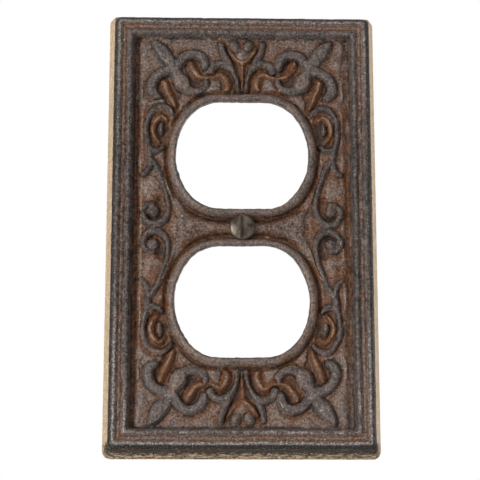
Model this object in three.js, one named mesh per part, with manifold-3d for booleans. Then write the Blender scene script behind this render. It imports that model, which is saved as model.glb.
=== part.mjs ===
// Cast iron cover plate for a duplex electrical outlet, with its mounting screw.
//
// Units are millimetres. The plate stands as it hangs on a wall: +Z is up, the
// wall is the plane y = 0 behind it, and its front faces -Y. The origin is on the
// wall plane, on the axis of the screw hole.
//
// Both pieces are drawn in a working frame that lies flat: x across the plate,
// y up the plate and z out of the wall. The last lines stand them upright.

import * as THREE from 'three';
import { mergeVertices } from 'three/addons/utils/BufferGeometryUtils.js';
import Module from 'manifold-3d';

const wasm = await Module();
wasm.setup();

// ---------------------------------------------------------------- dimensions

// Outline of the plate where it meets the wall. The sides lean in by DRAFT.
const BACK_HALF_WIDTH = 34.75;
const BACK_HALF_HEIGHT = 57.6;
// The wall of the lower end leans out this much further than the others.
const BOTTOM_FLARE = 0.6;
const BACK_CORNER_RADIUS = 2.0;
const FRONT_CORNER_RADIUS = 1.9;
const DRAFT = 1.5;
const CORNER_SEGMENTS = 3;

// Heights of the cast surfaces, measured out from the wall.
const BORDER_CREST = 6.1;
const RIM_CREST = 5.4;
const WEB_HEIGHT = 4.2;
const FIELD_HEIGHT = 3.6;
const HOLLOW_FLOOR = 2.7;
const COVE_HEIGHT = 2.85;
const ORNAMENT_HEIGHT = 4.7;
const SCROLL_HEIGHT = 4.5;
const VINE_HEIGHT = 3.95;
const FLANK_RUN = 0.35;
const VINE_FLANK_RUN = 0.8;

// The hollow back, which leaves a flat rim all round to bear on the wall.
const WALL_RIM_WIDTH = 3.2;
const CAVITY_DEPTH = 1.6;
const CAVITY_CORNER_RADIUS = 1.5;

// Receptacle openings: a circle cut by an upper and a lower flat, with a smaller
// arc that eases each corner between them.
const OPENING_SPACING = 38.1;
const OPENING_RADIUS = 17.05;
const OPENING_HALF_HEIGHT = 14.29;
const OPENING_EASE_RADIUS = 10;
const OPENING_SIDE_STEPS = 7;
const OPENING_EASE_STEPS = 4;
const OPENING_CENTRE = OPENING_SPACING / 2;
const RIM_WIDTH = 2.2;
const MOAT_WIDTH = 0.6;
const MOAT_FLOOR = 2.8;
const SEAT_MARGIN = 1.2;
const SEAT_CEILING = 3.4;

// Screw hole with its countersink, and the bar of metal behind it.
const HOLE_RADIUS = 2.45;
const COUNTERSINK_FLOOR = 3.75;
const COUNTERSINK_SLOPE = Math.tan(THREE.MathUtils.degToRad(82 / 2));
const HOLE_SEGMENTS = 24;
const BOSS_HALF_WIDTH = 7.5;
const BOSS_HALF_HEIGHT = 3.3;
const BOSS_CORNER_RADIUS = 2.4;
const BOSS_SETBACK = 0.3;

// Mounting screw: 6-32 oval head, 1/2 inch long, seated in the countersink.
const SCREW_SHANK_RADIUS = 1.75;
const SCREW_HEAD_RADIUS = 3.3;
const SCREW_DOME_HEIGHT = 0.9;
const SCREW_LENGTH = 12.7;
const SCREW_TIP_CHAMFER = 0.5;
const SCREW_SLOT_WIDTH = 0.95;
const SCREW_SLOT_DEPTH = 1.0;
const SCREW_SEGMENTS = 32;
const SCREW_LIFT = 0.42;

const EXTRA = 1;

// ------------------------------------------------------------ closed outlines

// Points of a rounded rectangle, counter-clockwise.
function roundedRectangle(halfWidth, halfHeight, radius) {
  const points = [];
  for (const [quarter, sx, sy] of [[0, 1, 1], [1, -1, 1], [2, -1, -1], [3, 1, -1]]) {
    for (let step = 0; step <= CORNER_SEGMENTS; step += 1) {
      const angle = (quarter + step / CORNER_SEGMENTS) * Math.PI / 2;
      const x = sx * (halfWidth - radius) + radius * Math.cos(angle);
      const y = sy * (halfHeight - radius) + radius * Math.sin(angle);
      points.push(new THREE.Vector2(x, y));
    }
  }
  return points;
}

// The opening's outline grown by margin, counter-clockwise from its lower right.
function openingOutline(margin) {
  const easeY = OPENING_HALF_HEIGHT - OPENING_EASE_RADIUS;
  const easeX = Math.sqrt((OPENING_RADIUS - OPENING_EASE_RADIUS) ** 2 - easeY ** 2);
  const meeting = Math.atan2(easeY, easeX);
  const right = [];
  const addArc = (x, y, radius, from, to, steps) => {
    for (let step = 0; step <= steps; step += 1) {
      const angle = from + (to - from) * step / steps;
      right.push([x + radius * Math.cos(angle), y + radius * Math.sin(angle)]);
    }
  };
  const easeRadius = OPENING_EASE_RADIUS + margin;
  addArc(easeX, -easeY, easeRadius, -Math.PI / 2, -meeting, OPENING_EASE_STEPS);
  right.pop();
  addArc(0, 0, OPENING_RADIUS + margin, -meeting, meeting, OPENING_SIDE_STEPS);
  right.pop();
  addArc(easeX, easeY, easeRadius, meeting, Math.PI / 2, OPENING_EASE_STEPS);
  const left = right.map(([x, y]) => [-x, -y]);
  return [...right, ...left].map(([x, y]) => new THREE.Vector2(x, y));
}

// ----------------------------------------------------------------- solid tools

function meshFrom(positions, triangles) {
  const geometry = new THREE.BufferGeometry();
  geometry.setAttribute('position', new THREE.Float32BufferAttribute(positions, 3));
  geometry.setIndex(triangles);
  return geometry;
}

// Skin over a stack of rings { outline, z } that all have the same number of
// points. The first and last rings are closed by a fan about the origin.
function loft(rings) {
  const count = rings[0].outline.length;
  const positions = [];
  const triangles = [];
  for (const { outline, z } of rings) {
    for (const point of outline) positions.push(point.x, point.y, z);
  }
  for (let ring = 0; ring + 1 < rings.length; ring += 1) {
    for (let i = 0; i < count; i += 1) {
      const a = ring * count + i;
      const b = ring * count + (i + 1) % count;
      triangles.push(a, b, b + count, a, b + count, a + count);
    }
  }
  const bottomCentre = rings.length * count;
  const topCentre = bottomCentre + 1;
  const lastRing = (rings.length - 1) * count;
  positions.push(0, 0, rings[0].z, 0, 0, rings[rings.length - 1].z);
  for (let i = 0; i < count; i += 1) {
    const next = (i + 1) % count;
    triangles.push(bottomCentre, next, i);
    triangles.push(topCentre, lastRing + i, lastRing + next);
  }
  return meshFrom(positions, triangles);
}

// A raised ridge along a smooth curve, with sloping flanks. Each point of the
// path is [x, y, half width].
function ridge(path, foot, crest, stepsPerSpan = 2, flankRun = FLANK_RUN) {
  const curve = new THREE.CatmullRomCurve3(path.map(([x, y, w]) => new THREE.Vector3(x, y, w)));
  const steps = (path.length - 1) * stepsPerSpan;
  const positions = [];
  const triangles = [];
  for (let step = 0; step <= steps; step += 1) {
    const point = curve.getPoint(step / steps);
    const tangent = curve.getTangent(step / steps).setZ(0).normalize();
    const across = new THREE.Vector2(-tangent.y, tangent.x);
    const top = Math.max(point.z - flankRun, point.z * 0.4);
    for (const [offset, z] of [[point.z, foot], [top, crest], [-top, crest], [-point.z, foot]]) {
      positions.push(point.x + across.x * offset, point.y + across.y * offset, z);
    }
  }
  for (let step = 0; step < steps; step += 1) {
    for (let corner = 0; corner < 4; corner += 1) {
      const a = step * 4 + corner;
      const b = step * 4 + (corner + 1) % 4;
      triangles.push(a, b + 4, a + 4, a, b, b + 4);
    }
  }
  const end = steps * 4;
  triangles.push(0, 2, 1, 0, 3, 2, end, end + 1, end + 2, end, end + 2, end + 3);
  return meshFrom(positions, triangles);
}

// A low round button that stands on the field.
function button(x, y, radius, foot, crest) {
  const height = crest - foot;
  const geometry = new THREE.CylinderGeometry(radius - FLANK_RUN, radius, height, 12);
  geometry.rotateX(Math.PI / 2);
  geometry.translate(x, y, foot + height / 2);
  return geometry;
}

function toManifold(geometry) {
  const bare = geometry.clone();
  bare.deleteAttribute('normal');
  bare.deleteAttribute('uv');
  const merged = mergeVertices(bare, 1e-4);
  return new wasm.Manifold(new wasm.Mesh({
    numProp: 3,
    vertProperties: new Float32Array(merged.attributes.position.array),
    triVerts: new Uint32Array(merged.index.array),
  }));
}

function fromManifold(solid) {
  const mesh = solid.getMesh();
  const geometry = meshFrom(Array.from(mesh.vertProperties), Array.from(mesh.triVerts));
  const faceted = geometry.toNonIndexed();
  faceted.computeVertexNormals();
  return faceted;
}

function join(solids) {
  return solids.reduce((whole, solid) => whole.add(solid));
}

// ---------------------------------------------------------------- cover plate

// One ring of the plate's face: insetX and insetY in from the front outline.
function faceRing(insetX, insetY, z) {
  const halfWidth = BACK_HALF_WIDTH - DRAFT - insetX;
  const halfHeight = BACK_HALF_HEIGHT - DRAFT - insetY;
  const radius = Math.max(FRONT_CORNER_RADIUS - Math.min(insetX, insetY), 0.5);
  return { outline: roundedRectangle(halfWidth, halfHeight, radius), z };
}

// The body of the casting: from the wall up the leaning side, over two rolls
// with a fine bead between them, and down a cove to the flat field.
function makeBody() {
  const back = roundedRectangle(BACK_HALF_WIDTH, BACK_HALF_HEIGHT, BACK_CORNER_RADIUS);
  for (const point of back) {
    if (point.y < 0) {
      point.y -= BOTTOM_FLARE;
    }
  }
  const outerRoll = [
    faceRing(0, 0, BORDER_CREST - 1.35),
    faceRing(0.4, 0.4, BORDER_CREST - 0.7),
    faceRing(0.95, 0.95, BORDER_CREST - 0.2),
    faceRing(1.6, 1.6, BORDER_CREST),
    faceRing(2.0, 2.0, BORDER_CREST - 0.25),
    faceRing(2.25, 2.25, BORDER_CREST - 0.7),
  ];
  const bead = [
    faceRing(2.55, 2.55, BORDER_CREST - 0.5),
    faceRing(2.95, 2.95, BORDER_CREST - 0.55),
    faceRing(3.27, 3.27, BORDER_CREST - 0.9),
  ];
  const innerRoll = [
    faceRing(3.65, 3.65, BORDER_CREST - 0.4),
    faceRing(4.15, 4.15, BORDER_CREST - 0.15),
    faceRing(4.6, 4.6, BORDER_CREST - 0.3),
    faceRing(5.0, 5.0, BORDER_CREST - 0.9),
  ];
  const cove = [
    faceRing(5.45, 5.35, COVE_HEIGHT + 0.3),
    faceRing(5.9, 5.5, COVE_HEIGHT),
    faceRing(7.5, 5.9, FIELD_HEIGHT),
  ];
  return toManifold(loft([{ outline: back, z: 0 }, ...outerRoll, ...bead, ...innerRoll, ...cove]));
}

// The hollow in the back, all but a rim along the edge.
function makeCavity() {
  const outline = roundedRectangle(
    BACK_HALF_WIDTH - WALL_RIM_WIDTH,
    BACK_HALF_HEIGHT - WALL_RIM_WIDTH,
    CAVITY_CORNER_RADIUS,
  );
  return toManifold(loft([{ outline, z: -EXTRA }, { outline, z: CAVITY_DEPTH }]));
}

// A bar of metal that carries the screw hole nearly back to the wall.
function makeBoss() {
  const outline = roundedRectangle(BOSS_HALF_WIDTH, BOSS_HALF_HEIGHT, BOSS_CORNER_RADIUS);
  return toManifold(loft([{ outline, z: BOSS_SETBACK }, { outline, z: FIELD_HEIGHT - 0.5 }]));
}

// The raised pad between the openings. Its ends are pinched at the middle.
function makeWeb() {
  const side = [[16.3, 0], [16.7, 3.6], [17.3, 6.0], [18.2, 8.7]];
  const upperRight = side.map(([x, y]) => new THREE.Vector2(x, y));
  const mirror = (points, sx, sy) => points.map((p) => new THREE.Vector2(sx * p.x, sy * p.y));
  const outline = [
    ...upperRight,
    ...mirror(upperRight, -1, 1).reverse(),
    ...mirror(upperRight.slice(1), -1, -1),
    ...mirror(upperRight.slice(1), 1, -1).reverse(),
  ];
  return toManifold(loft([{ outline, z: FIELD_HEIGHT - 0.5 }, { outline, z: WEB_HEIGHT }]));
}

// Everything about one opening, in its own place on the plate.
function atOpening(geometry, sign) {
  return toManifold(geometry.translate(0, sign * OPENING_CENTRE, 0));
}

function makeMoat(sign) {
  const outline = openingOutline(RIM_WIDTH + MOAT_WIDTH);
  return atOpening(loft([{ outline, z: MOAT_FLOOR }, { outline, z: BORDER_CREST }]), sign);
}

function makeRim(sign) {
  return atOpening(loft([
    { outline: openingOutline(RIM_WIDTH), z: CAVITY_DEPTH },
    { outline: openingOutline(RIM_WIDTH), z: RIM_CREST - 1.5 },
    { outline: openingOutline(RIM_WIDTH - 0.8), z: RIM_CREST - 0.45 },
    { outline: openingOutline(0.6), z: RIM_CREST },
    { outline: openingOutline(-0.1), z: RIM_CREST - 0.5 },
  ]), sign);
}

function makeOpening(sign) {
  const outline = openingOutline(0);
  return atOpening(loft([{ outline, z: -EXTRA }, { outline, z: BORDER_CREST + EXTRA }]), sign);
}

// The shallow seat behind the rim that clears the face of the receptacle.
function makeSeat(sign) {
  const outline = openingOutline(SEAT_MARGIN);
  return atOpening(loft([{ outline, z: -EXTRA }, { outline, z: SEAT_CEILING }]), sign);
}

function makeScrewHole() {
  const mouthRadius = HOLE_RADIUS + (BORDER_CREST - COUNTERSINK_FLOOR) * COUNTERSINK_SLOPE;
  const profile = [
    new THREE.Vector2(0, -EXTRA),
    new THREE.Vector2(HOLE_RADIUS, -EXTRA),
    new THREE.Vector2(HOLE_RADIUS, COUNTERSINK_FLOOR),
    new THREE.Vector2(mouthRadius, BORDER_CREST),
    new THREE.Vector2(0, BORDER_CREST),
  ];
  const geometry = new THREE.LatheGeometry(profile, HOLE_SEGMENTS);
  return toManifold(geometry.rotateX(Math.PI / 2));
}

// ------------------------------------------------------------------- ornament

// One quarter of the relief, in x > 0 and y > 0. Paths are [x, y, half width].

// Fleur-de-lis that points into the corner.
const FLEUR = [
  [[17.4, 42.3, 1.3], [18.7, 44.1, 1.65], [20.2, 46.0, 1.95], [21.6, 47.8, 1.65], [22.9, 49.8, 0.8]],
  [[17.3, 42.2, 1.3], [16.3, 44.0, 1.2], [14.8, 45.7, 1.25], [12.8, 46.35, 1.25], [10.9, 45.7, 1.25],
    [9.9, 44.3, 1.15], [9.65, 42.6, 0.9]],
  [[17.8, 41.9, 1.4], [20.4, 41.4, 1.25], [22.4, 40.1, 1.3], [23.4, 38.3, 1.35], [23.4, 36.4, 1.3],
    [22.2, 34.9, 0.9]],
  [[17.3, 41.9, 1.4], [16.5, 40.1, 1.7], [15.7, 38.7, 2.1], [15.1, 37.1, 1.4]],
];

// Tail of the fleur-de-lis, the palmette arm and the hood of the little scroll.
const CREST_SCROLLS = [
  [[14.9, 37.4, 1.5], [13.5, 36.7, 1.15], [11.8, 36.5, 1.0], [10.3, 37.1, 0.95], [9.4, 38.2, 0.85],
    [9.3, 39.4, 0.6]],
  [[1.1, 36.3, 0.6], [1.35, 39.2, 0.55], [2.3, 41.8, 0.65], [3.6, 44.2, 0.85], [4.8, 46.4, 0.85],
    [5.4, 49.4, 0.7]],
  [[2.4, 42.1, 0.7], [3.5, 43.2, 1.0], [5.1, 43.8, 0.9], [6.5, 43.6, 0.85], [7.6, 42.9, 0.95],
    [8.2, 41.3, 0.9]],
];

// Long scroll, its leaf, its eye and the stem that ends in a spiral by the web.
const SIDE_SCROLLS = [
  [[17.9, 30.2, 0.45], [18.9, 31.3, 0.55], [20.6, 31.9, 0.65], [22.5, 31.3, 0.65], [24.1, 29.3, 0.6],
    [24.75, 26.6, 0.6], [24.6, 23.8, 0.6], [24.1, 21.3, 0.65], [23.7, 18.9, 0.7],
    [23.5, 16.8, 0.65], [24.2, 14.9, 0.6], [25.4, 13.8, 0.55]],
  [[20.2, 21.4, 0.5], [21.2, 20.6, 0.65], [22.6, 20.2, 0.7], [23.8, 20.9, 0.7]],
  [[20.9, 27.8, 0.45], [21.1, 26.2, 0.7], [21.0, 24.6, 0.5]],
  [[23.0, 17.6, 0.55], [21.7, 15.4, 0.65], [20.5, 12.6, 0.55], [19.5, 9.6, 0.55], [18.9, 6.6, 0.6],
    [18.9, 4.0, 0.7], [19.8, 2.0, 0.9], [21.8, 0.9, 0.95], [23.8, 1.3, 0.8],
    [25.0, 2.9, 0.65], [25.1, 4.6, 0.6], [24.1, 5.9, 0.55], [22.7, 6.2, 0.5]],
];

// Round ends: [x, y, radius].
const BUTTONS = [[7.4, 37.8, 1.4], [1.65, 48.5, 1.1], [22.7, 4.1, 1.5]];

// Hollows scooped out of the field inside and between the scrolls.
const HOLLOWS = [
  [[12.9, 43.9, 2.0], [12.6, 42.2, 2.2], [11.4, 40.8, 1.9], [10.0, 39.9, 1.4], [8.2, 40.3, 1.2],
    [5.8, 41.1, 1.5], [4.2, 40.3, 1.8], [3.7, 38.6, 2.0], [4.0, 37.0, 1.7]],
  [[20.2, 38.9, 1.6], [19.5, 36.2, 2.2], [18.2, 34.0, 2.0], [17.4, 31.6, 1.3]],
  [[20.8, 29.2, 1.5], [21.4, 26.0, 2.8], [21.2, 22.8, 1.6]],
  [[20.9, 7.2, 1.1], [20.3, 4.2, 1.2], [21.4, 2.6, 1.1], [23.3, 2.9, 1.0]],
];

// Low round vines that lie in the hollows, and the fold under the palmette.
const VINES = [
  [[13.6, 44.0, 1.2], [13.2, 43.0, 1.7], [12.3, 41.6, 1.5], [11.3, 40.4, 1.2], [9.8, 39.9, 1.0],
    [8.2, 39.9, 1.0], [6.8, 40.5, 1.15], [5.5, 41.0, 1.4], [4.4, 40.2, 1.6], [3.8, 38.8, 1.6],
    [3.8, 37.4, 1.3]],
  [[19.6, 28.6, 0.8], [20.8, 29.4, 1.0], [22.0, 28.8, 1.15], [22.9, 27.2, 1.2], [23.0, 25.4, 1.15],
    [22.4, 23.8, 1.0], [21.4, 22.6, 0.8]],
  [[20.2, 38.8, 1.5], [19.7, 37.0, 1.6], [18.9, 35.2, 1.5], [18.1, 33.4, 1.3], [17.4, 31.8, 0.8]],
  [[-0.3, 43.7, 0.9], [1.4, 44.8, 0.9], [2.7, 46.2, 0.9], [3.6, 47.6, 0.6]],
];

function mirrorPath(path, sx, sy) {
  return path.map(([x, y, size]) => [sx * x, sy * y, size]);
}

// A hollow is a ridge turned over.
function makeHollows() {
  const mouth = FIELD_HEIGHT + 0.4;
  const solids = [];
  for (const [sx, sy] of [[1, 1], [-1, 1], [-1, -1], [1, -1]]) {
    for (const path of HOLLOWS) {
      const turnedOver = toManifold(ridge(mirrorPath(path, sx, sy), -mouth, -HOLLOW_FLOOR, 1));
      solids.push(turnedOver.mirror([0, 0, 1]));
    }
  }
  return join(solids);
}

function makeOrnament() {
  const solids = [];
  const foot = HOLLOW_FLOOR - 0.3;
  for (const [sx, sy] of [[1, 1], [-1, 1], [-1, -1], [1, -1]]) {
    for (const path of FLEUR) {
      solids.push(toManifold(ridge(mirrorPath(path, sx, sy), foot, ORNAMENT_HEIGHT)));
    }
    for (const path of CREST_SCROLLS) {
      solids.push(toManifold(ridge(mirrorPath(path, sx, sy), foot, SCROLL_HEIGHT)));
    }
    for (const path of SIDE_SCROLLS) {
      solids.push(toManifold(ridge(mirrorPath(path, sx, sy), foot, SCROLL_HEIGHT, 1)));
    }
    for (const path of VINES) {
      const vine = ridge(mirrorPath(path, sx, sy), foot, VINE_HEIGHT, 1, VINE_FLANK_RUN);
      solids.push(toManifold(vine));
    }
    for (const [x, y, radius] of mirrorPath(BUTTONS, sx, sy)) {
      solids.push(toManifold(button(x, y, radius, foot, SCROLL_HEIGHT)));
    }
  }
  return join(solids);
}

function makeCoverPlate() {
  let casting = makeBody().subtract(makeHollows()).add(makeWeb());
  casting = casting.subtract(makeCavity()).add(makeBoss());
  for (const sign of [1, -1]) casting = casting.subtract(makeMoat(sign));
  casting = casting.add(makeOrnament());
  for (const sign of [1, -1]) casting = casting.add(makeRim(sign));
  for (const sign of [1, -1]) {
    casting = casting.subtract(makeSeat(sign)).subtract(makeOpening(sign));
  }
  return fromManifold(casting.subtract(makeScrewHole()));
}

// -------------------------------------------------------------- mounting screw

// The cone under the head stands SCREW_LIFT out of the countersink, which leaves
// running clearance between the two.
function makeMountingScrew() {
  const coneAboveHole = (SCREW_HEAD_RADIUS - HOLE_RADIUS) / COUNTERSINK_SLOPE;
  const coneHeight = (SCREW_HEAD_RADIUS - SCREW_SHANK_RADIUS) / COUNTERSINK_SLOPE;
  const headEdge = COUNTERSINK_FLOOR + coneAboveHole + SCREW_LIFT;
  const tip = headEdge - SCREW_LENGTH;
  const profile = [
    new THREE.Vector2(0, tip),
    new THREE.Vector2(SCREW_SHANK_RADIUS - SCREW_TIP_CHAMFER, tip),
    new THREE.Vector2(SCREW_SHANK_RADIUS, tip + SCREW_TIP_CHAMFER),
    new THREE.Vector2(SCREW_SHANK_RADIUS, headEdge - coneHeight),
    new THREE.Vector2(SCREW_HEAD_RADIUS, headEdge),
  ];
  const domeSteps = 4;
  for (let step = 1; step <= domeSteps; step += 1) {
    const angle = step / domeSteps * Math.PI / 2;
    const radius = step === domeSteps ? 0 : SCREW_HEAD_RADIUS * Math.cos(angle);
    profile.push(new THREE.Vector2(radius, headEdge + SCREW_DOME_HEIGHT * Math.sin(angle)));
  }
  const turned = toManifold(new THREE.LatheGeometry(profile, SCREW_SEGMENTS).rotateX(Math.PI / 2));
  const slot = new THREE.BoxGeometry(SCREW_SLOT_WIDTH, 3 * SCREW_HEAD_RADIUS, 2 * SCREW_SLOT_DEPTH);
  slot.translate(0, 0, headEdge + SCREW_DOME_HEIGHT);
  return fromManifold(turned.subtract(toManifold(slot)));
}

// -------------------------------------------------------------------- assembly

const castIron = new THREE.MeshStandardMaterial({
  color: 0x5a4a42, roughness: 0.6, metalness: 0.6,
});
const bronzedSteel = new THREE.MeshStandardMaterial({
  color: 0x4b3d35, roughness: 0.45, metalness: 0.8,
});

function named(name, geometry, material) {
  const mesh = new THREE.Mesh(geometry, material);
  mesh.name = name;
  return mesh;
}

const group = new THREE.Group();
group.add(named('cover_plate', makeCoverPlate(), castIron));
group.add(named('mounting_screw', makeMountingScrew(), bronzedSteel));
group.rotation.x = Math.PI / 2;

export default group;
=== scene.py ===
"""Cast iron duplex outlet cover plate: fine relief, threaded screw, finishes and light.

The plate is drawn lying flat, in millimetres: x across, y up the plate and h out
of the wall. place() turns that into the row frame, in metres.
"""

import math
from types import SimpleNamespace

import bpy
import numpy as np
from mathutils import Matrix, Vector


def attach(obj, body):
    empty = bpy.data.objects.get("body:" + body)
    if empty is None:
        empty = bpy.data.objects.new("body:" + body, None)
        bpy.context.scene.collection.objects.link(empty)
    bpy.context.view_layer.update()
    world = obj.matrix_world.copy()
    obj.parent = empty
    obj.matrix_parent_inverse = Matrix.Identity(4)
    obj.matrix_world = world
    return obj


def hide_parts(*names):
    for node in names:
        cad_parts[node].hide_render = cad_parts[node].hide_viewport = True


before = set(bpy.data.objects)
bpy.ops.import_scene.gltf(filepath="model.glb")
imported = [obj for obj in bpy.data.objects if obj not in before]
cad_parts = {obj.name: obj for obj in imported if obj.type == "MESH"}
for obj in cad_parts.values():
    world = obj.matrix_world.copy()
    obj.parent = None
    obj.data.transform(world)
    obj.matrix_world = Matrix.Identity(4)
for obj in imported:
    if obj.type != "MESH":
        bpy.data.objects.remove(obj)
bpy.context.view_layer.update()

# ------------------------------------------------------------------ dimensions, mm

BACK_HALF_WIDTH = 34.75
BACK_HALF_HEIGHT = 57.6
BOTTOM_FLARE = 0.6
BACK_CORNER_RADIUS = 2.0
FRONT_CORNER_RADIUS = 1.9
DRAFT = 1.5
FRONT_HALF_WIDTH = BACK_HALF_WIDTH - DRAFT
FRONT_HALF_HEIGHT = BACK_HALF_HEIGHT - DRAFT
DRAFT_HEIGHT = 4.7

BORDER_CREST = 6.03
CREST_LIMIT = 6.08
RIM_CREST = 5.4
WEB_HEIGHT = 4.2
FIELD_HEIGHT = 3.6
COVE_FLOOR = 2.8
MOAT_FLOOR = 2.8
HOLLOW_FLOOR = 2.6

OPENING_CENTRE = 19.05
OPENING_RADIUS = 17.05
OPENING_HALF_HEIGHT = 14.29
EASE_RADIUS = 10.0
EASE_Y = OPENING_HALF_HEIGHT - EASE_RADIUS
EASE_X = math.sqrt((OPENING_RADIUS - EASE_RADIUS) ** 2 - EASE_Y**2)
SEAT_MARGIN = 1.2
SEAT_CEILING = 3.4

WALL_RIM_WIDTH = 3.2
CAVITY_DEPTH = 1.6
CAVITY_CORNER_RADIUS = 1.5
BOSS = (7.5, 3.3, 2.4)
BOSS_SETBACK = 0.3
BOSS_TOP = 3.0
SOFT_EDGE = 0.25

HOLE_RADIUS = 2.45
COUNTERSINK_FLOOR = 3.75
COUNTERSINK_SLOPE = math.tan(math.radians(41))
COUNTERSINK_REACH = 6.0
HOLE_MOUTH = 7.0
HOLE_SEGMENTS = 64

# Places on the face, as insets from its outline or offsets from an opening's edge.
GROOVES = (2.28, 3.27)
BORDER_END = 5.5
COVE_END = 7.6
RIM_END = 2.35
MOAT_END = (2.75, 3.35)

# Heights of the rings that shape the sides, and how far the cutting tools reach.
SIDE_LEVELS = (0.0, 0.5, 1.2, 1.9, 2.6, 3.3, 4.0, DRAFT_HEIGHT, 8.0)
BELOW_WALL = -1.0
ABOVE_FACE = 8.0

GRID = 0.27
CAVITY_GRID = 1.0
PATH_STEP = 0.12
SEED = 7
MM = 0.001

# ------------------------------------------------------------------ small helpers


def place(x, y, h):
    """Flat drawing coordinates in mm to the row frame in metres."""
    return np.stack([x, -np.asarray(h), y], axis=-1) * MM


def ease(value, low, high):
    """0 below low, 1 above high, smooth between."""
    t = np.clip((value - low) / (high - low), 0, 1)
    return t * t * (3 - 2 * t)


def below(value, limit, run):
    """1 while value is at least run below the limit, easing to 0 at the limit."""
    return ease(limit - value, 0, run)


def between(value, start, full, fading, end):
    """1 from full to fading, easing from 0 at start and back to 0 at end."""
    return ease(value, start, full) * below(value, end, end - fading)


def line(value, centre, width):
    """A soft line: 1 at the centre, nearly 0 two widths away."""
    return np.exp(-(((value - centre) / width) ** 2))


def blur(field, pitch, sigma):
    """Gaussian blur of a raster, by its spectrum."""
    fy = np.fft.fftfreq(field.shape[0], pitch)[:, None]
    fx = np.fft.rfftfreq(field.shape[1], pitch)[None, :]
    kernel = np.exp(-2 * (math.pi * sigma) ** 2 * (fx**2 + fy**2))
    return np.fft.irfft2(np.fft.rfft2(field) * kernel, s=field.shape)


def roughness_field(shape, pitch, wavelength, seed):
    """Smooth seeded noise with unit deviation."""
    grain = blur(np.random.RandomState(seed).randn(*shape), pitch, wavelength / 4)
    return grain / grain.std()


def rounded_inset(x, y, half_width, half_height, radius):
    """Distance in from a rounded rectangle, negative outside."""
    qx = np.abs(x) - (half_width - radius)
    qy = np.abs(y) - (half_height - radius)
    outside = np.hypot(np.maximum(qx, 0), np.maximum(qy, 0))
    return radius - (outside + np.minimum(np.maximum(qx, qy), 0))


def opening_offset(x, y):
    """Distance out from the edge of the nearer receptacle opening."""
    x = np.abs(x)
    y = np.abs(np.abs(y) - OPENING_CENTRE)
    side = np.hypot(x, y) - OPENING_RADIUS
    eased = np.hypot(x - EASE_X, y - EASE_Y) - EASE_RADIUS
    flat = y - OPENING_HALF_HEIGHT
    return np.where(y * EASE_X < x * EASE_Y, side, np.where(x < EASE_X, flat, eased))


def spline(points):
    """Dense points of a Catmull-Rom curve; columns are x, y, half width."""
    p = np.array(points, float)
    p = np.vstack([2 * p[0] - p[1], p, 2 * p[-1] - p[-2]])
    spans = []
    for a, b, c, d in zip(p[:-3], p[1:-2], p[2:-1], p[3:]):
        count = max(2, int(np.hypot(*(c - b)[:2]) / PATH_STEP))
        t = np.arange(count)[:, None] / count
        spans.append(
            0.5
            * (
                2 * b
                + (c - a) * t
                + (2 * a - 5 * b + 4 * c - d) * t**2
                + (3 * b - a - 3 * c + d) * t**3
            )
        )
    return np.vstack([*spans, p[-2:-1]])


def depth_inside(x, y, points):
    """Distance in from the edge of a band along a path, negative outside."""
    curve = spline(points)
    reach = curve[:, 2].max() + 1.2
    inside = np.full(x.shape, -9.0)
    near = (x > curve[:, 0].min() - reach) & (x < curve[:, 0].max() + reach)
    near &= (y > curve[:, 1].min() - reach) & (y < curve[:, 1].max() + reach)
    best = np.full(int(near.sum()), -9.0)
    for cx, cy, half_width in curve:
        best = np.maximum(best, half_width - np.hypot(x[near] - cx, y[near] - cy))
    inside[near] = best
    return inside


def share_inside(x, y, points):
    """1 on a path's centre line, falling to 0 at the edge of its band."""
    curve = spline(points)
    reach = curve[:, 2].max()
    share = np.zeros(x.shape)
    near = (x > curve[:, 0].min() - reach) & (x < curve[:, 0].max() + reach)
    near &= (y > curve[:, 1].min() - reach) & (y < curve[:, 1].max() + reach)
    best = np.zeros(int(near.sum()))
    for cx, cy, half_width in curve:
        best = np.maximum(best, 1 - np.hypot(x[near] - cx, y[near] - cy) / half_width)
    share[near] = best
    return share


# ------------------------------------------------------------------ the relief

# One quarter of the ornament, in x > 0 and y > 0. Paths are [x, y, half width].
PETAL = [[17.4, 42.3, 1.2], [18.7, 44.1, 1.6], [20.2, 46.0, 1.95], [21.6, 47.8, 1.65],
         [22.9, 49.6, 0.7]]
CURL_IN = [[17.3, 42.2, 1.2], [16.3, 44.0, 1.2], [14.8, 45.7, 1.25], [12.8, 46.35, 1.25],
           [10.9, 45.7, 1.25], [9.9, 44.3, 1.15], [9.65, 42.9, 0.95]]
CURL_OUT = [[17.8, 41.9, 1.3], [20.4, 41.4, 1.25], [22.4, 40.1, 1.3], [23.4, 38.3, 1.35],
            [23.4, 36.4, 1.3], [22.4, 35.0, 1.1], [21.7, 34.7, 0.8]]
BULB = [[17.3, 41.6, 1.3], [16.5, 40.1, 1.6], [15.7, 38.9, 2.15], [15.4, 38.1, 2.05]]
TAIL = [[14.9, 37.4, 1.5], [13.5, 36.7, 1.15], [11.8, 36.5, 1.0], [10.3, 37.1, 0.95],
        [9.4, 38.2, 0.85], [9.3, 39.0, 0.65]]
ARM = [[1.1, 36.4, 0.55], [1.35, 39.2, 0.5], [2.3, 41.8, 0.6], [3.6, 44.2, 0.8], [4.8, 46.4, 0.8],
       [5.4, 49.0, 0.65]]
HOOD = [[2.4, 42.1, 0.7], [3.5, 43.2, 1.0], [5.1, 43.8, 0.9], [6.5, 43.6, 0.85],
        [7.6, 42.9, 0.95], [8.1, 41.8, 1.0]]
HEART = [[1.8, 49.1, 1.0], [1.65, 48.5, 1.15], [1.5, 48.0, 0.9]]
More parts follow.
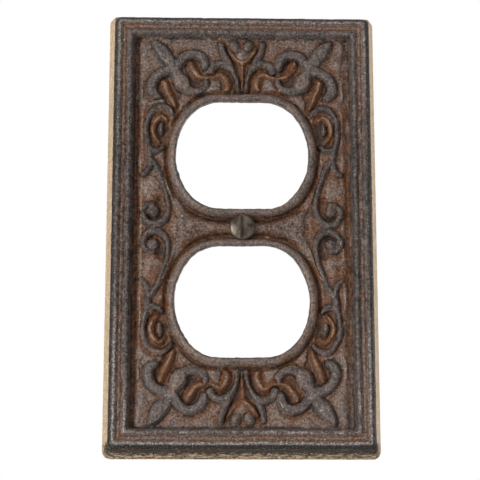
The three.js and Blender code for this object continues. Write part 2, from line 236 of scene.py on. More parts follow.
LONG_SCROLL = [[17.9, 30.2, 0.45], [18.9, 31.3, 0.55], [20.6, 31.9, 0.65], [22.5, 31.3, 0.65],
               [24.1, 29.3, 0.6], [24.75, 26.6, 0.6], [24.6, 23.8, 0.6], [24.1, 21.3, 0.65],
               [23.7, 18.9, 0.7], [23.5, 16.8, 0.65], [24.2, 14.9, 0.6], [25.4, 13.8, 0.55]]
LEAF = [[20.2, 21.4, 0.5], [21.2, 20.6, 0.65], [22.6, 20.2, 0.7], [23.8, 20.9, 0.7]]
SCROLL_EYE = [[20.9, 27.6, 0.45], [21.1, 26.2, 0.7], [21.0, 24.8, 0.5]]
STEM = [[23.0, 17.6, 0.55], [21.7, 15.4, 0.65], [20.5, 12.6, 0.55], [19.5, 9.6, 0.52],
        [18.9, 6.6, 0.58], [18.9, 4.0, 0.7], [19.8, 2.0, 0.9], [21.8, 0.9, 0.95],
        [23.8, 1.3, 0.8], [25.0, 2.9, 0.65], [25.1, 4.6, 0.6], [24.1, 5.9, 0.55],
        [22.7, 6.2, 0.5]]
SPIRAL_EYE = [[22.5, 4.0, 1.3], [22.9, 4.2, 1.4]]

# Round rusty vines between the scrolls, and folds along the edges of the field.
VINES = [
    [[13.6, 44.0, 1.2], [13.2, 43.0, 1.7], [12.3, 41.6, 1.5], [11.3, 40.4, 1.2], [9.8, 39.9, 1.0],
     [8.2, 39.9, 1.0], [6.8, 40.5, 1.15], [5.5, 41.0, 1.4], [4.4, 40.2, 1.6], [3.8, 38.8, 1.6],
     [3.8, 37.4, 1.3], [4.4, 36.6, 0.9]],
    [[19.6, 28.6, 0.8], [20.8, 29.4, 1.0], [22.0, 28.8, 1.15], [22.9, 27.2, 1.2],
     [23.0, 25.4, 1.15], [22.4, 23.8, 1.0], [21.4, 22.6, 0.8]],
    [[20.2, 38.8, 1.5], [19.7, 37.0, 1.6], [18.9, 35.2, 1.5], [18.1, 33.4, 1.3], [17.4, 31.8, 0.8]],
]
VEE_FOLD = [[0, 43.8, 0.9], [1.4, 44.8, 0.9], [2.7, 46.2, 0.9], [3.6, 47.6, 0.6]]
MIDDLE_FOLD = [[0, 37.6, 0.5], [0, 40.5, 0.6], [0, 43.8, 0.8]]
EDGE_FOLDS = [
    [[26.05, 38.5, 0.6], [25.95, 35.2, 0.6], [25.5, 33.3, 0.6], [24.9, 32.1, 0.7]],
    [[24.9, 32.1, 0.6], [23.2, 32.9, 0.6], [21.7, 33.4, 0.55], [20.3, 33.6, 0.5]],
    [[6.0, 37.0, 0.5], [8.6, 36.7, 0.6], [10.8, 35.7, 0.6], [12.7, 35.2, 0.6], [14.2, 35.9, 0.4]],
]
SIDE_FOLD = [[24.9, 32.1, 0.7], [25.6, 30.2, 0.75], [25.8, 27, 0.8], [25.7, 22, 0.8],
             [25.9, 16, 0.85], [25.7, 10, 0.8], [25.8, -0.9, 0.8]]
WEB_FOLD = [[20.0, 13.4, 0.4], [19.4, 12.2, 0.5], [18.3, 8.9, 0.55], [17.2, 6.2, 0.55],
            [16.1, 3.9, 0.5], [15.2, 2.9, 0.3]]

# Hollows scooped out of the field, and soft pads raised on it: (path, height).
HOLLOWS = [
    [[12.9, 43.2, 2.3], [11.8, 41.2, 1.9], [10.2, 39.8, 1.4], [8.2, 40.3, 1.2], [5.8, 41.1, 1.6],
     [4.2, 40.3, 1.9], [3.7, 38.6, 2.0], [4.0, 37.0, 1.7]],
    [[12.4, 40.2, 1.6], [11.8, 38.9, 1.7], [10.3, 39.3, 1.2]],
    [[20.2, 38.4, 2.0], [19.5, 36.2, 2.2], [18.2, 34.0, 2.0], [17.5, 31.4, 1.4]],
    [[18.6, 35.4, 1.4], [17.1, 34.9, 1.3], [16.4, 35.1, 0.9]],
    [[20.7, 28.5, 2.2], [21.4, 26.0, 2.9], [21.2, 23.3, 2.1]],
    [[20.9, 7.2, 1.1], [20.3, 4.2, 1.2], [21.4, 2.6, 1.1], [23.3, 2.9, 1.0]],
    [[0.0, 38.0, 0.9], [0.0, 40.4, 1.2], [0.7, 42.4, 1.5], [2.0, 44.2, 1.3], [3.3, 46.2, 1.1],
     [4.0, 48.3, 0.8]],
]
PADS = [
    ([[23.3, 12.3, 1.9], [23.3, 10.2, 2.3], [23.1, 8.3, 2.0]], 4.05),
    ([[26.0, 49.0, 1.2], [25.2, 46.0, 1.6], [24.6, 42.8, 1.2]], 3.95),
    ([[0, 45.0, 1.2], [0, 46.8, 2.1]], 4.25),
    ([[8.2, 36.7, 0.9], [7.5, 37.6, 1.4], [7.1, 38.5, 1.2]], 4.3),
]

# Section of the border: inset from the front outline, height.
BORDER_SECTION = [(-1, 4.5), (0, 4.75), (0.35, 5.3), (0.75, 5.74), (1.15, 5.97),
                  (1.6, BORDER_CREST), (1.95, 5.92), (2.2, 5.42), (2.35, 5.38), (2.55, 5.54),
                  (2.8, 5.58), (3.0, 5.5), (3.25, 5.2), (3.4, 5.24), (3.6, 5.62), (3.85, 5.85),
                  (4.15, 5.92), (4.5, 5.84), (4.8, 5.6), (5.0, 5.2), (5.6, 4.6)]

# Section of the rim round an opening: offset from the opening's edge, height.
RIM_SECTION = [(-1, 4.3), (-0.05, 4.6), (0.12, 5.1), (0.35, 5.32), (0.7, RIM_CREST), (1.1, 5.3),
               (1.5, 5.05), (1.85, 4.7), (2.15, 4.1), (RIM_END, 0)]

# Half width of the web's sides by distance from its middle line.
WEB_SIDES = [(0, 16.6), (3.6, 17.0), (6.0, 17.6), (8.7, 18.4), (12.0, 19.4)]

# Share of worn iron by height: rust in the hollows, brown field, grey raised work.
FINISH_BY_HEIGHT = [(2.6, 0.08), (2.95, 0.2), (3.5, 0.43), (4.1, 0.5), (4.35, 0.7), (4.8, 0.78),
                    (5.4, 0.8)]


class Relief:
    """Height of the cast face over a raster, built up feature by feature.

    Every uneven feature has a noise stream of its own, the last argument of noise().
    """

    def __init__(self, x, y, pitch):
        self.x, self.y, self.pitch = x, y, pitch
        self.ax = np.abs(x + self.wander(1, 2))
        self.ay = np.abs(y + self.wander(3, 4))
        self.h = FIELD_HEIGHT + 0.10 * self.noise(3.5, 7)
        self.crest = np.zeros(x.shape)
        self.hollowed = np.zeros(x.shape)
        self.nearest = np.full(x.shape, -9.0)

    def noise(self, wavelength, stream):
        return roughness_field(self.x.shape, self.pitch, wavelength, SEED + stream)

    def wander(self, slow_stream, quick_stream):
        """How far the hand-cut pattern strays from true."""
        return 0.09 * self.noise(6, slow_stream) + 0.05 * self.noise(2.0, quick_stream)

    def hollow(self, path, floor, run=0.9):
        """A scooped hollow; it is marked as such for the finish."""
        share = ease(depth_inside(self.ax, self.ay, path), -0.25, run - 0.25)
        self.h = self.h * (1 - share) + np.minimum(self.h, floor) * share
        self.hollowed = np.maximum(self.hollowed, share)

    def pad(self, path, height):
        """A soft swelling of the field."""
        depth = depth_inside(self.ax, self.ay, path)
        rise = ease(depth, -0.2, max(p[2] for p in path))
        self.h = np.maximum(self.h, self.h * (1 - rise) + height * rise)
        self.hollowed = self.hollowed * (1 - rise)

    def crease(self, path, top, low=HOLLOW_FLOOR, rusty=0.0):
        """A soft ridge; its crest is marked for wear and painted highlight."""
        share = share_inside(self.ax, self.ay, path)
        profile = 0.75 * np.sin(share * math.pi / 2) ** 0.8 + 0.25 * share
        raised = low - 0.1 + (top - low + 0.1) * profile
        self.h = np.where(share > 0, np.maximum(self.h, raised), self.h)
        self.crest = np.maximum(self.crest, ease(share, 0.62, 0.98))
        self.hollowed = np.maximum(self.hollowed, rusty * ease(share, 0.0, 0.15))

    def band(self, path, top, run=0.55, crown=0.12):
        """A scroll: steep rounded shoulders and a nearly flat top."""
        depth = depth_inside(self.ax, self.ay, path)
        self.nearest = np.maximum(self.nearest, depth)
        away = np.clip(depth / run, 0, 1)
        shoulder = np.sqrt(1 - (1 - away) ** 2)
        dome = crown * (np.clip(depth / max(p[2] for p in path), 0, 1) - 0.5)
        raised = HOLLOW_FLOOR + (top - HOLLOW_FLOOR) * shoulder + dome
        self.h = np.where(depth > 0, np.maximum(self.h, raised), self.h)


def cast_ornament(relief, side_inset, offset):
    """Adds the cove, the hollows, the web and the scrolls to the field."""
    noise = relief.noise

    # The cove runs up both long sides only.
    cove = COVE_FLOOR + (FIELD_HEIGHT - 0.15 - COVE_FLOOR) * ease(side_inset, 5.9, COVE_END)
    lowered = np.minimum(relief.h, cove + 0.05 * noise(2.5, 8))
    relief.h = np.where(side_inset < COVE_END, lowered, relief.h)

    for path in HOLLOWS:
        relief.hollow(path, HOLLOW_FLOOR)
    for path in VINES:
        relief.crease(path, 4.0, rusty=1.0)
    for path, height in PADS:
        relief.pad(path, height)
    relief.crease(VEE_FOLD, 4.2, 3.0, rusty=0.8)
    relief.crease(MIDDLE_FOLD, 3.6, 2.9, rusty=0.8)
    for path in EDGE_FOLDS:
        relief.crease(path, 4.0, 3.2)
    relief.crease(SIDE_FOLD, 3.75, 3.1)

    # The web between the openings, with its sides pinched in at the middle.
    web_edge = np.interp(relief.ay, *zip(*WEB_SIDES))
    web = ease(web_edge - relief.ax, -0.2, 1.6) * (1 - ease(relief.ay, 12.0, 13.5))
    web = web * ease(offset, 1.9, 4.6)
    web_top = MOAT_FLOOR + (WEB_HEIGHT + 0.06 * noise(3, 9) - MOAT_FLOOR) * web
    relief.h = np.maximum(relief.h, web_top)
    relief.crease(WEB_FOLD, 4.35, 3.2)

    for path in (LONG_SCROLL, LEAF, STEM):
        relief.band(path, 4.45, 0.42)
    relief.band(SCROLL_EYE, 4.35, 0.6)
    relief.band(SPIRAL_EYE, 4.3, 0.9, 0.2)
    for path in (TAIL, ARM, HOOD):
        relief.band(path, 4.5)
    relief.band(HEART, 4.45, 0.8)
    relief.band(BULB, 4.85, 0.8, 0.3)
    for path in (CURL_IN, CURL_OUT):
        relief.band(path, 4.8, 0.5, 0.15)
    relief.band(PETAL, 4.95, 0.6, 0.3)


def iron_share(relief, at):
    """Where grey iron shows, from 1, through brown, to 0, where all is rust."""
    noise = relief.noise
    share = np.interp(at.h, *zip(*FINISH_BY_HEIGHT)) + 0.04 * noise(4.0, 30)
    share = share - 0.36 * relief.hollowed * at.field
    share = share - 0.18 * line(relief.nearest, -0.6, 0.7) * at.field
    share = share - 0.24 * between(at.inset, 2.05, 2.3, 3.25, 3.5)
    for groove in GROOVES:
        share = share - 0.65 * line(at.inset, groove, 0.22)
    on_rim = between(at.rim_offset, 0.1, 0.5, 1.8, 2.2)
    share = share - on_rim * (0.22 + 0.08 * ease(-at.y, -10, 20))
    share = share + 0.11 * noise(0.65, 39) * at.border
    share = share - 0.28 * at.beside_web - 0.16 * at.on_web
    share = share - 0.2 * ease(depth_inside(relief.ax, relief.ay, BULB), 0.0, 1.0)
    beside_openings = ease(np.abs(at.x), 17.0, 19.5) * below(np.abs(at.y), 34, 4) * at.field
    # Less iron beside the openings; more on the right-hand cove lightens it, painted light, as that
    # cove faces the lamp on the left.
    share = share - 0.1 * beside_openings + 0.14 * ease(at.x, 25.5, 26.5) * at.inner
    return np.clip(share, 0, 1)


def soot_and_shade(relief, at):
    """Where black lies: dark wash and painted shade at the foot of raised work and in deep places,
    and thin films, some of them painted shade.
    """
    noise = relief.noise
    height_up = at.y

    foot = 1.2 * line(relief.nearest, -0.2, 0.27) * at.inner * (at.offset > 2.5)
    deep = 0.75 * relief.hollowed * below(at.h, 3.55, 0.9) * at.field
    ledge = 0.9 * line(at.inset, BORDER_END, 0.35)
    moat_line = 0.72 * line(at.rim_offset, 2.5, 0.35)
    patchy = np.clip(0.78 + 0.22 * noise(3.2, 31) + 0.2 * noise(0.9, 33), 0.25, 1.0)
    # The dark lines at the foot of raised work, along the inner edge of the border, round the moats
    # and on the floors of the hollows are part dark wash and part painted shade.
    wash_and_shade_lines = np.maximum.reduce([foot, ledge, moat_line, deep]) * patchy

    # The outer slope of the border is darkest along the lower end.
    facing_down = 0.74 + 0.16 * ease(-height_up, 50, 56) - 0.2 * ease(height_up, 52, 56)
    outer_slope = between(at.inset, -0.3, 0.1, 0.75, 1.35) * facing_down

    web_specks = np.clip(0.45 + 0.12 * np.sign(height_up) + 0.36 * noise(0.8, 32), 0, 0.95)
    web_film = np.clip(0.38 + 0.06 * noise(1.6, 36), 0, 0.5)
    web = np.maximum(at.beside_web * web_specks, at.on_web * web_film)

    # The dark specks in the cove are heavier on the left, where they stand in for the inner roll's
    # shadow: painted shadow.
    cove_specks_and_shadow = np.clip(0.2 + 0.3 * noise(0.9, 34), 0, 0.7) * (1 - 0.6 * (at.x > 0))
    cove = below(at.side_inset, COVE_END, 1.5) * at.inner * cove_specks_and_shadow

    # The scrolls carry a dark film, heavier on the thin ones and about the middle; its darkening
    # towards the top is painted shade.
    scroll_film_and_shade = 0.24 * (at.h < 4.62) + 0.16 * ease(height_up, -20, 40)
    scroll_film_and_shade = scroll_film_and_shade + 0.12 * below(np.abs(height_up), 25, 8)
    scroll_film_and_shade = scroll_film_and_shade * (relief.nearest > 0)
    # Painted shade: the face darkens towards the top.
    upper_painted_shade = 0.27 * ease(height_up, -15, 48) * (at.h > 3.2)
    # The long sides of the border are darker, most of all about the middle.
    darker_long_sides = (0.28 + 0.18 * below(np.abs(height_up), 45, 25)) * at.border
    darker_long_sides = darker_long_sides * ease(at.top_inset - at.side_inset, -0.4, 0.8)
    darker_long_sides = darker_long_sides * np.clip(1 + 0.2 * noise(1.3, 37), 0, 2)

    layers = [wash_and_shade_lines, outer_slope, web, cove, scroll_film_and_shade, darker_long_sides, upper_painted_shade]
    return np.clip(np.maximum.reduce(layers), 0, 1)


def rubbed_and_highlit(relief, at, pitch):
    """Where iron shows through on crests, with painted highlights: the crests of the rolls and of
    the thin folds, the rolls strongest along the lower end.
    """
    fading = np.clip(0.7 + 0.45 * relief.noise(3.5, 35), 0, 1)
    convex = np.clip(3.6 * (at.h - blur(at.h, pitch, 0.55)), 0, 1)
    outer_roll = between(at.inset, 0.9, 1.3, 1.6, 2.0)
    outer_roll = outer_roll * (1 - 0.6 * ease(at.y, -32, -12) + 0.35 * ease(at.y, 28, 46))
    inner_roll = 0.7 * between(at.inset, 3.7, 4.0, 4.3, 4.7) * ease(-at.y, 30, 50) * fading
    folds = relief.crest * at.field * fading
    return np.maximum.reduce([convex * outer_roll, inner_roll, folds])


def cast_face(x, y, pitch):
    """Height of the whole front face, in mm out from the wall, and its colour marks, painted shade
    and highlights among them.
    """
    relief = Relief(x, y, pitch)
    noise = relief.noise
    bx = x + 0.04 * noise(9, 21) + 0.02 * noise(2.5, 22)
    by = y + 0.04 * noise(9, 23) + 0.02 * noise(2.5, 24)
    inset = rounded_inset(bx, by, FRONT_HALF_WIDTH, FRONT_HALF_HEIGHT, FRONT_CORNER_RADIUS)
    side_inset = FRONT_HALF_WIDTH - np.abs(bx)
    top_inset = FRONT_HALF_HEIGHT - np.abs(by)
    offset = opening_offset(x + 0.06 * noise(3.5, 5), y + 0.06 * noise(3.5, 6))
    cast_ornament(relief, side_inset, offset)

    # Round each opening, a moat and then the raised rim, narrower beside the screw.
    h = relief.h
    moat = 1 - ease(offset, *MOAT_END)
    h = h * (1 - moat) + np.minimum(h, MOAT_FLOOR) * moat
    rim_offset = offset * (1 + 0.2 * below(relief.ay, 7.5, 4.0))
    rim = np.interp(rim_offset, *zip(*RIM_SECTION)) + 0.03 * noise(2.5, 10)
    h = np.where(rim_offset < RIM_END, np.maximum(h, rim), h)

    # The border: two rolls with a fine bead between them.
    border = np.interp(inset, *zip(*BORDER_SECTION)) + 0.03 * noise(1.6, 11)
    field = ease(inset, 4.95, 5.4)
    h = np.where(inset < BORDER_END, border * (1 - field) + h * field, h)

    # The countersink, then the skin of the casting.
    reach = np.hypot(x, y)
    cone = COUNTERSINK_FLOOR + (reach - HOLE_RADIUS) / COUNTERSINK_SLOPE
    h = np.where(reach < COUNTERSINK_REACH, np.minimum(h, cone), h)
    h = blur(h, pitch, 0.13)
    h = h + 0.022 * noise(0.9, 12) + 0.014 * noise(0.6, 13)
    h = np.minimum(h, CREST_LIMIT)

    inner = inset > BORDER_END
    clear_of_rim = ease(rim_offset, 2.0, 2.5)
    at = SimpleNamespace(
        x=x, y=y, h=h, inset=inset, side_inset=side_inset, top_inset=top_inset,
        offset=offset, rim_offset=rim_offset, inner=inner, border=inset < 5.3,
        field=inner * (relief.nearest < 0),
        beside_web=below(np.abs(y), 5.5, 1.5) * clear_of_rim * below(offset, 4.4, 1.8),
        on_web=below(np.abs(y), 6, 2) * below(np.abs(x), 19, 3) * clear_of_rim,
    )
    # Colour marks: iron and rust, black wash with painted shade, and wear with painted highlights.
    finish_and_painted_light = {
        "raised": iron_share(relief, at),
        "crease": soot_and_shade(relief, at),
        "worn_and_highlight": rubbed_and_highlit(relief, at, pitch),
    }
    return h, finish_and_painted_light


# ------------------------------------------------------------------ mesh building


def make_object(name, points, faces):
    mesh = bpy.data.meshes.new(name)
    mesh.from_pydata(points.tolist(), [], faces)
    mesh.update()
    made = bpy.data.objects.new(name, mesh)
    bpy.context.scene.collection.objects.link(made)
    return made


def height_block(name, xs, ys, top, base):
    """A closed block with a relief on top and a flat base."""
    columns, rows = len(xs), len(ys)
    gx, gy = np.meshgrid(xs, ys)
    corner = np.arange(rows * columns).reshape(rows, columns)
    rim = np.concatenate([corner[0, :-1], corner[:-1, -1], corner[-1, :0:-1], corner[:0:-1, 0]])
    upper = place(gx.ravel(), gy.ravel(), top.ravel())
    lower = place(gx.ravel()[rim], gy.ravel()[rim], np.full(len(rim), base))
    a, b = corner[:-1, :-1], corner[:-1, 1:]
    c, d = corner[1:, 1:], corner[1:, :-1]
    faces = np.stack([a, b, c, d], axis=-1).reshape(-1, 4).tolist()
    first = rows * columns
    for i in range(len(rim)):
        j = (i + 1) % len(rim)
        faces.append([int(rim[j]), int(rim[i]), first + i, first + j])
    faces.append([first + i for i in range(len(rim))][::-1])
    return make_object(name, np.vstack([upper, lower]), faces)


def loft(name, rings):
    """Closed skin over rings of (outline, height), each outline an (n, 2) array."""
    count = len(rings[0][0])
    points = np.vstack([place(o[:, 0], o[:, 1], np.full(count, h)) for o, h in rings])
    faces = []
    for ring in range(len(rings) - 1):
        for i in range(count):
            a, b = ring * count + i, ring * count + (i + 1) % count
            faces.append([a, b, b + count, a + count])
    faces.append(list(range(count))[::-1])
    last = (len(rings) - 1) * count
    faces.append([last + i for i in range(count)])
    return make_object(name, points, faces)


def arc(cx, cy, radius, start, end, spacing):
    """Points of an arc without its last one, so that parts join end to end."""
    count = max(2, int(abs(end - start) * radius / spacing))
    angle = start + (end - start) * np.arange(count) / count
    return np.stack([cx + radius * np.cos(angle), cy + radius * np.sin(angle)], axis=-1)


def run(start, end, spacing):
    """Points of a straight part, again without its last one."""
    start, end = np.array(start, float), np.array(end, float)
    count = max(1, int(np.hypot(*(end - start)) / spacing))
    return start + (end - start) * np.arange(count)[:, None] / count


def rounded_rectangle(half_width, half_height, radius, spacing):
    """Evenly spaced points of the outline, counter-clockwise."""
    w, h = half_width - radius, half_height - radius
    quarter = math.pi / 2
    parts = [
        run((half_width, -h), (half_width, h), spacing),
        arc(w, h, radius, 0, quarter, spacing),
        run((w, half_height), (-w, half_height), spacing),
        arc(-w, h, radius, quarter, 2 * quarter, spacing),
        run((-half_width, h), (-half_width, -h), spacing),
        arc(-w, -h, radius, 2 * quarter, 3 * quarter, spacing),
        run((-w, -half_height), (w, -half_height), spacing),
        arc(w, -h, radius, 3 * quarter, 4 * quarter, spacing),
    ]
    return np.vstack(parts)


def inward(outline, distance):
    """Moves each point of a counter-clockwise outline in along its normal."""
    along = np.roll(outline, -1, axis=0) - np.roll(outline, 1, axis=0)
    along /= np.hypot(along[:, 0], along[:, 1])[:, None]
    normal = np.stack([-along[:, 1], along[:, 0]], axis=-1)
    return outline + normal * np.asarray(distance).reshape(-1, 1)


def opening_outline(centre, margin, spacing):
    """A receptacle opening grown by the margin, counter-clockwise."""
    radius, eased = OPENING_RADIUS + margin, EASE_RADIUS + margin
    meet, right = math.atan2(EASE_Y, EASE_X), math.pi / 2
    top = OPENING_HALF_HEIGHT + margin
    half = np.vstack([
        arc(EASE_X, -EASE_Y, eased, -right, -meet, spacing),
        arc(0, 0, radius, -meet, meet, spacing),
        arc(EASE_X, EASE_Y, eased, meet, right, spacing),
        run((EASE_X, top), (-EASE_X, top), spacing),
    ])
    return np.vstack([half, -half]) + [0, centre]


def wobble(count, amplitude, seed):
    """Seeded noise along a closed outline."""
    random = np.random.RandomState(seed)
    turn = np.arange(count) / count * 2 * math.pi
    total = np.zeros(count)
    for k in range(4, 60):
        total += random.randn() * np.cos(k * turn + random.rand() * 2 * math.pi) / math.sqrt(k)
    return amplitude * total / total.std()


def boolean(target, tool, operation):
    """Applies a boolean to target and removes the tool."""
    modifier = target.modifiers.new("cut", "BOOLEAN")
    modifier.operation = operation
    modifier.object = tool
    modifier.solver = "MANIFOLD"
    graph = bpy.context.evaluated_depsgraph_get()
    result = bpy.data.meshes.new_from_object(target.evaluated_get(graph))
    target.modifiers.clear()
    old = target.data
    target.data = result
    bpy.data.meshes.remove(old)
    spare = tool.data
    bpy.data.objects.remove(tool)
    bpy.data.meshes.remove(spare)
    if not result.polygons:
        raise RuntimeError(f"boolean {operation} on {target.name} left nothing")


def plate_solid(top, xs, ys):
    """The casting: the face cut to the drafted sides, hollowed and opened from the back."""
    plate = height_block("cast_plate", xs, ys, top, BELOW_WALL)

    # Drafted, slightly uneven sides; the lower end flares out to the wall.
    back = rounded_rectangle(BACK_HALF_WIDTH, BACK_HALF_HEIGHT, BACK_CORNER_RADIUS, 0.6)
    rings = []
    for level, height in enumerate(SIDE_LEVELS):
        lean = DRAFT * min(height / DRAFT_HEIGHT, 1)
        rough = 0.05 + wobble(len(back), 0.018, 40 + level) if level else 0.0
        outline = inward(back, lean + np.maximum(rough, 0.0))
        flare = BOTTOM_FLARE * (1 - min(height / DRAFT_HEIGHT, 1))
        outline[:, 1] -= flare * ease(-back[:, 1], 50, 55)
        rings.append((outline, height))
    boolean(plate, loft("side_tool", rings), "INTERSECT")

    # The hollow back, with a rough ceiling and soft shoulders.
    half = (BACK_HALF_WIDTH - WALL_RIM_WIDTH, BACK_HALF_HEIGHT - WALL_RIM_WIDTH)
    cx = np.linspace(-half[0], half[0], int(2 * half[0] / CAVITY_GRID))
    cy = np.linspace(-half[1], half[1], int(2 * half[1] / CAVITY_GRID))
    gx, gy = np.meshgrid(cx, cy)
    rise = ease(rounded_inset(gx, gy, *half, CAVITY_CORNER_RADIUS), -0.1, 0.9)
    rough = 0.05 * roughness_field(gx.shape, CAVITY_GRID, 5, 61)
    rough += 0.03 * roughness_field(gx.shape, CAVITY_GRID, 2.4, 62)
    ceiling = -0.2 + (CAVITY_DEPTH + 0.2 - 0.05 + np.minimum(rough, 0.1)) * rise
    boolean(plate, height_block("cavity_tool", cx, cy, ceiling, 2 * BELOW_WALL), "DIFFERENCE")

    boss = rounded_rectangle(*BOSS, 0.5)
    soft = inward(boss, SOFT_EDGE)
    rings = [(soft, BOSS_SETBACK), (boss, BOSS_SETBACK + SOFT_EDGE), (boss, BOSS_TOP)]
    boolean(plate, loft("boss_tool", rings), "UNION")

    # A seat behind each opening, and the opening itself with its ragged lip.
    for sign in (1, -1):
        centre = sign * OPENING_CENTRE
        seat = opening_outline(centre, SEAT_MARGIN, 0.5)
        seat = inward(seat, wobble(len(seat), 0.03, 70 + sign))
        soft = inward(seat, SOFT_EDGE)
        rings = [(seat, BELOW_WALL), (seat, SEAT_CEILING - SOFT_EDGE), (soft, SEAT_CEILING)]
        boolean(plate, loft("seat_tool", rings), "DIFFERENCE")
        edge = opening_outline(centre, 0.0, 0.4)
        edge = inward(edge, wobble(len(edge), 0.05, 80 + sign))
        lip = inward(edge, wobble(len(edge), 0.03, 90 + sign))
        rings = [(edge, BELOW_WALL), (edge, 3.9), (lip, 4.4), (lip, ABOVE_FACE)]
        boolean(plate, loft("opening_tool", rings), "DIFFERENCE")

    # The screw hole with its countersink.
    turn = np.arange(HOLE_SEGMENTS) / HOLE_SEGMENTS * 2 * math.pi
    circle = np.stack([np.cos(turn), np.sin(turn)], axis=-1)
    bore = circle * HOLE_RADIUS
    mouth = circle * (HOLE_RADIUS + (HOLE_MOUTH - COUNTERSINK_FLOOR) * COUNTERSINK_SLOPE)
    rings = [(bore, BELOW_WALL), (bore, COUNTERSINK_FLOOR), (mouth, HOLE_MOUTH)]
    boolean(plate, loft("hole_tool", rings), "DIFFERENCE")
    return plate


def sample(raster, xs, ys, x, y):
    """Bilinear lookup of a raster."""
    col = np.clip((x - xs[0]) / (xs[1] - xs[0]), 0, len(xs) - 1.001)
    row = np.clip((y - ys[0]) / (ys[1] - ys[0]), 0, len(ys) - 1.001)
    i, j = row.astype(int), col.astype(int)
    v, u = row - i, col - j
    low = raster[i, j] * (1 - u) + raster[i, j + 1] * u
    high = raster[i + 1, j] * (1 - u) + raster[i + 1, j + 1] * u
    return low * (1 - v) + high * v


def coordinates(mesh):
    """Vertex positions in the flat drawing, as x, y, h in mm."""
    co = np.zeros(len(mesh.vertices) * 3)
    mesh.vertices.foreach_get("co", co)
    co = co.reshape(-1, 3) / MM
    return co[:, 0], co[:, 2], -co[:, 1]


def set_attribute(mesh, name, values):
    """Stores one value per vertex."""
    attribute = mesh.attributes.new(name, "FLOAT", "POINT")
    attribute.data.foreach_set("value", values.astype(np.float32))


FACE_TOLERANCE = 0.08


def store_finish_and_painted_light(mesh, finish_and_painted_light, face, xs, ys):
    """Stores the colour marks, painted shade and highlights among them, on the mesh, from the
    raster on the face and plain elsewhere.
    """
    px, py, ph = coordinates(mesh)
    on_face = np.abs(sample(face, xs, ys, px, py) - ph) < FACE_TOLERANCE

    front = rounded_inset(px, py, FRONT_HALF_WIDTH, FRONT_HALF_HEIGHT, FRONT_CORNER_RADIUS)
    wall = below(front, 0.3, 0.3)
    set_attribute(mesh, "wall", wall)

    # The lower end is soiled, most of all near the front.
    lower_end = ease(-py, FRONT_HALF_HEIGHT - 2.8, FRONT_HALF_HEIGHT - 0.8)
    soiled = lower_end * (0.5 + 0.78 * ease(ph, 1.4, 4.2))
    on_raster = {name: sample(raster, xs, ys, px, py) for name, raster in finish_and_painted_light.items()}
    on_raster["crease"] = np.maximum(on_raster["crease"], soiled * wall)
    for name, elsewhere in (("raised", 0.45), ("crease", soiled), ("worn_and_highlight", 0.1)):
        set_attribute(mesh, name, np.where(on_face, on_raster[name], elsewhere))


def shade_smooth(mesh, sharp_degrees):
    """Smooth shading, but for the edges sharper than the angle."""
    mesh.polygons.foreach_set("use_smooth", np.ones(len(mesh.polygons), bool))
    mesh.set_sharp_from_angle(angle=math.radians(sharp_degrees))


MARGIN = 0.5  # of the raster, round the plate
xs = np.arange(-BACK_HALF_WIDTH - MARGIN, BACK_HALF_WIDTH + MARGIN + GRID, GRID)
ys = np.arange(-BACK_HALF_HEIGHT - BOTTOM_FLARE - MARGIN, BACK_HALF_HEIGHT + MARGIN + GRID, GRID)
face, finish_and_painted_light = cast_face(*np.meshgrid(xs, ys), GRID)
plate = plate_solid(face, xs, ys)
store_finish_and_painted_light(plate.data, finish_and_painted_light, face, xs, ys)
shade_smooth(plate.data, 55)

# ------------------------------------------------------------------ mounting screw

SCREW_SHANK_RADIUS = 1.75
SCREW_ROOT_RADIUS = 1.34
SCREW_HEAD_RADIUS = 3.3
SCREW_DOME_HEIGHT = 0.9
SCREW_LENGTH = 12.7
SCREW_LIFT = 0.42
SCREW_SLOT_WIDTH = 0.95
SCREW_SLOT_DEPTH = 1.0
SCREW_EDGE_WIDTH = 0.07
SCREW_TIP_BEVEL = 0.55
THREAD_PITCH = 0.794
SEGMENTS = 48

head_edge = COUNTERSINK_FLOOR + (SCREW_HEAD_RADIUS - HOLE_RADIUS) / COUNTERSINK_SLOPE + SCREW_LIFT
cone_foot = head_edge - (SCREW_HEAD_RADIUS - SCREW_SHANK_RADIUS) / COUNTERSINK_SLOPE
tip = head_edge - SCREW_LENGTH


def turned(name, heights, radius_at):
    """A closed turned body whose radius depends on height and angle."""
    turn = np.arange(SEGMENTS) / SEGMENTS * 2 * math.pi
    rings = []
    for height in heights:
        radius = radius_at(height, turn / (2 * math.pi))
        rings.append((np.stack([radius * np.cos(turn), radius * np.sin(turn)], axis=-1), height))
    return loft(name, rings)


def thread_radius(height, turn):
    """A 60 degree thread that fades out at the tip and below the head."""
    phase = np.mod(height / THREAD_PITCH - turn, 1.0)
    flank = np.clip(1.15 - 2.3 * np.abs(phase - 0.5), 0, 1)
    cut = (SCREW_SHANK_RADIUS - SCREW_ROOT_RADIUS) * flank
    plain = ease(height, cone_foot - 1.6, cone_foot - 1.0)
    tip_bevel = max(0.0, SCREW_TIP_BEVEL - (height - tip))
    return np.minimum(SCREW_SHANK_RADIUS - cut * (1 - plain), SCREW_SHANK_RADIUS - tip_bevel)


def head_radius(height, turn):
    """The cone under the head, then its dome."""
    if height <= head_edge:
        radius = SCREW_HEAD_RADIUS - (head_edge - height) * COUNTERSINK_SLOPE
    else:
        rise = min((height - head_edge) / SCREW_DOME_HEIGHT, 1)
        radius = SCREW_HEAD_RADIUS * math.sqrt(max(1 - rise**2, 0.0004))
    return np.full(turn.shape, radius)


